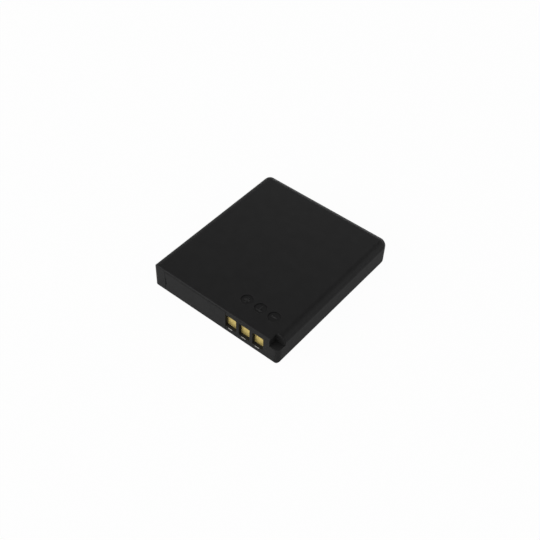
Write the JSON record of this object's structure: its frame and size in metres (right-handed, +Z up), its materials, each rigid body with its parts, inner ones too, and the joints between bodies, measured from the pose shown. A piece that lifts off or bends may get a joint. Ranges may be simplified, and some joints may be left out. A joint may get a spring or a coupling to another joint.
{
  "type": "camera battery",
  "caption": "Flat rectangular camera battery pack: matt black moulded case, recessed gold contacts in one end, a corner key notch, and a sealed cell with its protection board inside.",
  "frame": {"origin": "middle of the underside, on the surface that the battery lies on", "axes": "+Z up through the thickness, +Y along the length away from the contact end, +X across the width towards the key notch"},
  "size_m": [0.0366, 0.0418, 0.0067],
  "materials": {
    "case_plastic": "fine matt black moulding",
    "contact_gold": "gold plated sheet, bare metal at the sheared ends of the feet",
    "board_laminate": "green solder mask",
    "chip_moulding": "black moulding compound",
    "component_ceramic": "sintered ceramic with tinned ends",
    "cell_aluminium": "drawn aluminium, bare",
    "seal_plastic": "translucent white moulding",
    "strip_nickel": "rolled nickel",
    "insulating_paper": "pressed insulating paper",
    "cutout_moulding": "black moulding",
    "adhesive_tape": "double-sided adhesive tape"
  },
  "bodies": {
    "root": {"case_shell": "case_plastic", "case_lid": "case_plastic", "contact_positive": "contact_gold", "contact_sense": "contact_gold", "contact_negative": "contact_gold", "circuit_board": "board_laminate", "protection_chip": "chip_moulding", "switch_chip": "chip_moulding", "chip_capacitor": "component_ceramic", "chip_resistors": "component_ceramic", "thermistor": "component_ceramic", "cell_can": "cell_aluminium", "terminal_gasket": "seal_plastic", "terminal_rivet": "strip_nickel", "cap_insulator": "insulating_paper", "positive_strip": "strip_nickel", "negative_strip": "strip_nickel", "thermal_cutout": "cutout_moulding", "cutout_strip": "strip_nickel", "tape_upper": "adhesive_tape", "tape_lower": "adhesive_tape"}
  },
  "joints": []
}
